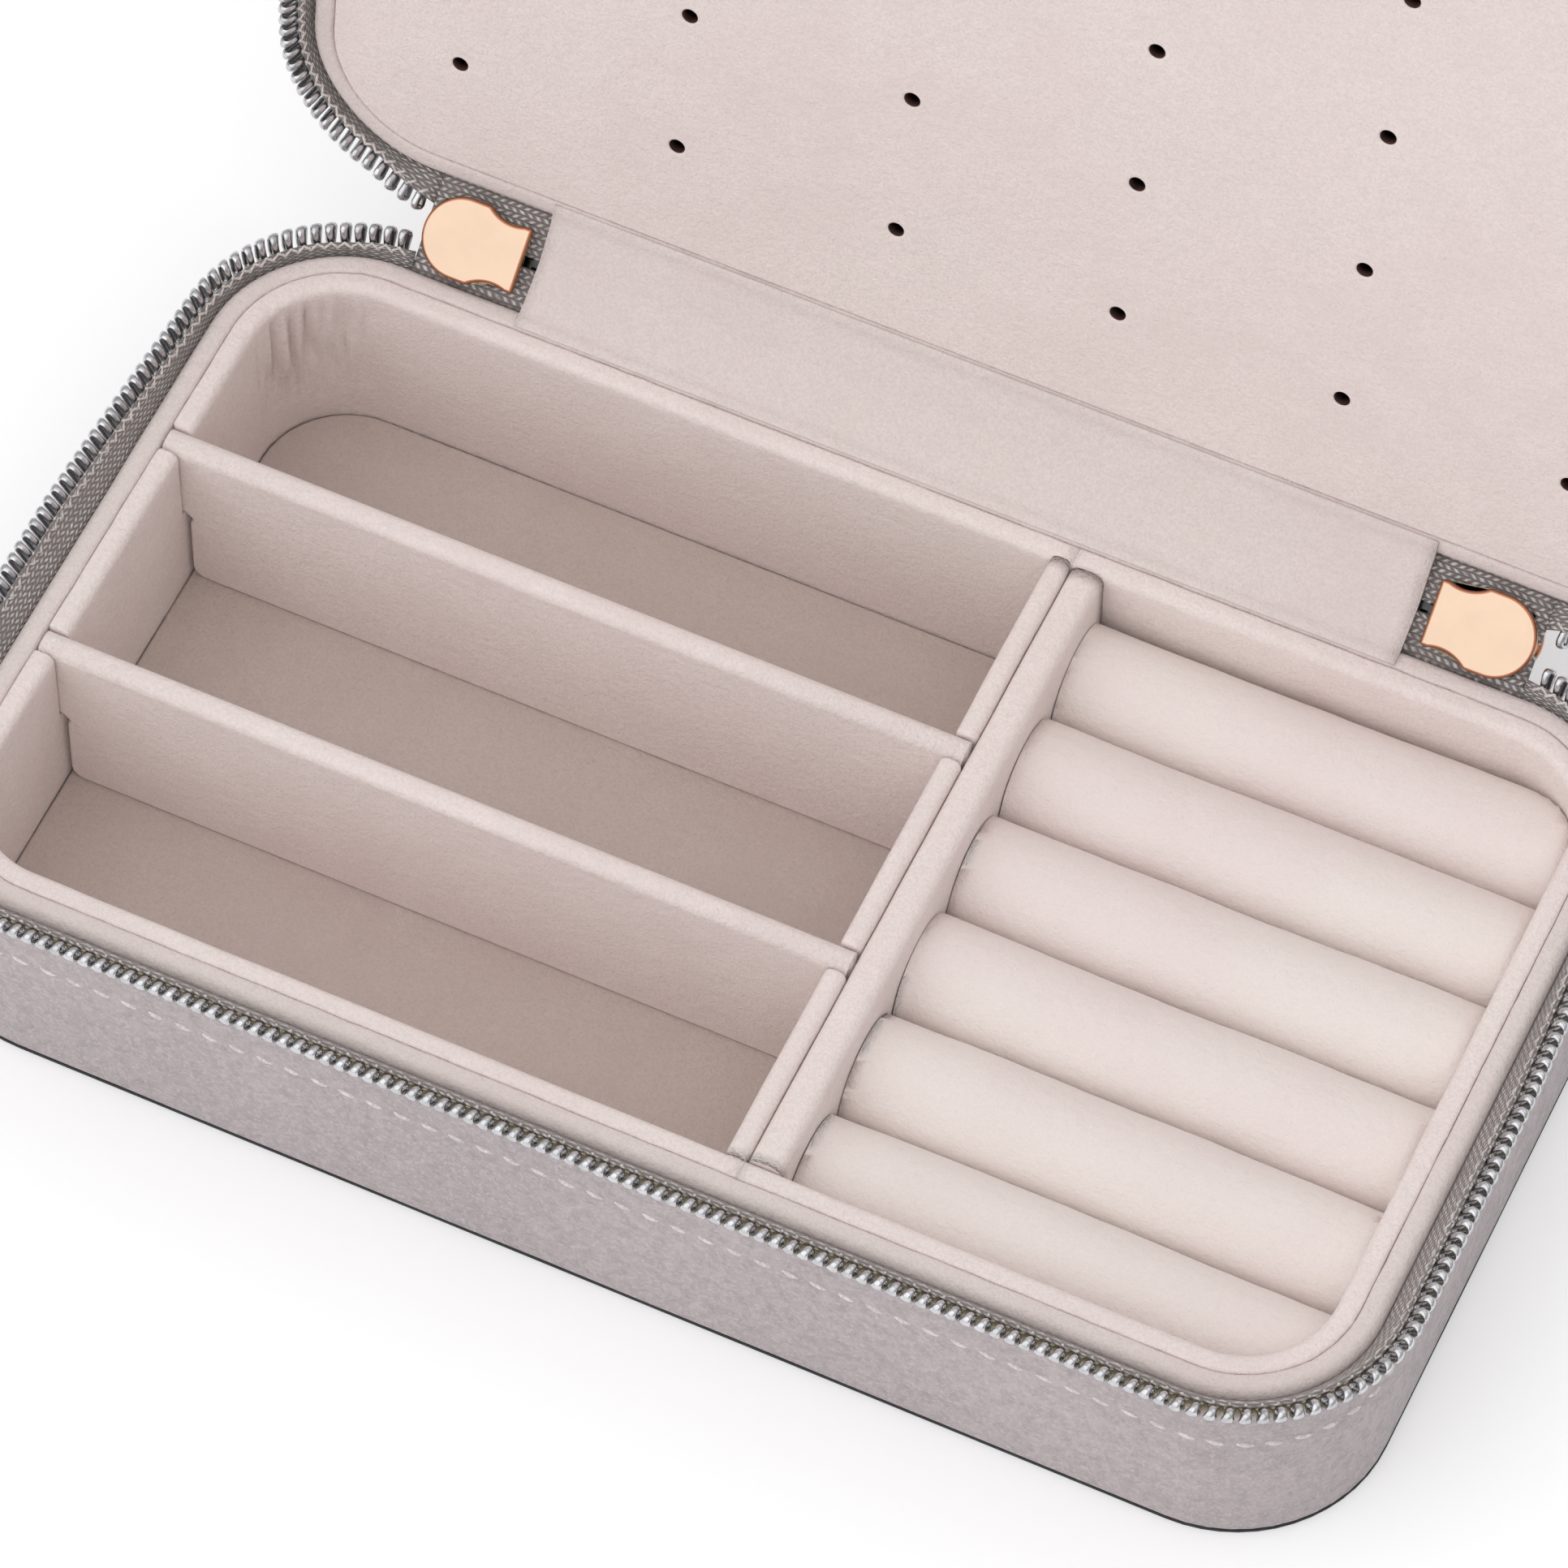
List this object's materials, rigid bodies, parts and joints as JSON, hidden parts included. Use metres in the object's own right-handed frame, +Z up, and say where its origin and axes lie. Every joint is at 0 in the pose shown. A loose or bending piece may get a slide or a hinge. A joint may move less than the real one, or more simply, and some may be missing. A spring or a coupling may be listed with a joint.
{
  "type": "jewelry box",
  "caption": "Rigid zip-around travel jewellery case, open: tray with two lift-out dividers, six foam ring rolls and an earring panel in the hinged lid.",
  "frame": {"origin": "on the table under the middle of the base's bottom board", "axes": "+X along the long side to the ring rolls, +Y back to the hinge, +Z up"},
  "size_m": [0.1738, 0.1357, 0.1279],
  "materials": {
    "leather_grey": "fine-grained matt leather",
    "edge_black": "black painted edge",
    "velvet": "short-pile velvet",
    "velvet_floor": "short-pile velvet, darker",
    "velvet_rolls": "short-pile velvet over foam",
    "board_core": "greyboard",
    "zip_tape": "woven tape with a silver thread",
    "zip_silver": "silver-plated nylon coil",
    "rose_gold": "polished rose-gold plating"
  },
  "bodies": {
    "base": {"base_panel": "edge_black", "base_shell": "leather_grey", "base_collar": "velvet", "base_tape": "zip_tape", "base_teeth": "zip_silver", "tray_floor": "velvet_floor", "tray_liner": "velvet", "ring_floor": "velvet_floor", "ring_wall": "velvet", "ring_liner": "velvet", "ring_roll_1": "velvet_rolls", "ring_roll_2": "velvet_rolls", "ring_roll_3": "velvet_rolls", "ring_roll_4": "velvet_rolls", "ring_roll_5": "velvet_rolls", "ring_roll_6": "velvet_rolls", "hinge_flap": "velvet", "hinge_spine": "leather_grey", "hinge_tape": "zip_tape"},
    "lid": {"lid_panel": "leather_grey", "lid_shell": "leather_grey", "lid_collar": "velvet", "lid_spacer": "board_core", "lid_tape": "zip_tape", "lid_teeth": "zip_silver", "earring_panel": "velvet"},
    "zip_end": {"hinge_chain": "zip_silver", "slider_left": "rose_gold", "slider_right": "rose_gold"},
    "pull_left": {"pull_left": "rose_gold"},
    "pull_right": {"pull_right": "rose_gold"},
    "divider_front": {"divider_front": "velvet"},
    "divider_back": {"divider_back": "velvet"}
  },
  "joints": [
    {"name": "lid_hinge", "type": "hinge", "parent": "base", "child": "lid", "pos_m": [0, 0.0488, 0.0306], "axis": [1, 0, 0], "range_deg": [-5, 100], "deforming": ["hinge_flap", "hinge_spine", "hinge_tape"]},
    {"name": "slider_turn", "type": "hinge", "parent": "base", "child": "zip_end", "pos_m": [0, 0.04585, 0.0248], "axis": [1, 0, 0], "range_deg": [-2.5, 50]},
    {"name": "pull_left_swing", "type": "hinge", "parent": "zip_end", "child": "pull_left", "pos_m": [-0.0598, 0.05323, 0.02485], "axis": [0, 0.766, 0.6428], "range_deg": [-75, 75]},
    {"name": "pull_right_swing", "type": "hinge", "parent": "zip_end", "child": "pull_right", "pos_m": [0.0598, 0.05323, 0.02485], "axis": [0, 0.766, 0.6428], "range_deg": [-75, 75]},
    {"name": "divider_front_lift", "type": "slide", "parent": "base", "child": "divider_front", "axis": [0, 0, 1], "range_m": [0, 0.009]},
    {"name": "divider_back_lift", "type": "slide", "parent": "base", "child": "divider_back", "axis": [0, 0, 1], "range_m": [0, 0.009]}
  ],
  "couplings": [
    {"joint": "slider_turn", "follows": "lid_hinge", "ratio": 0.5}
  ]
}
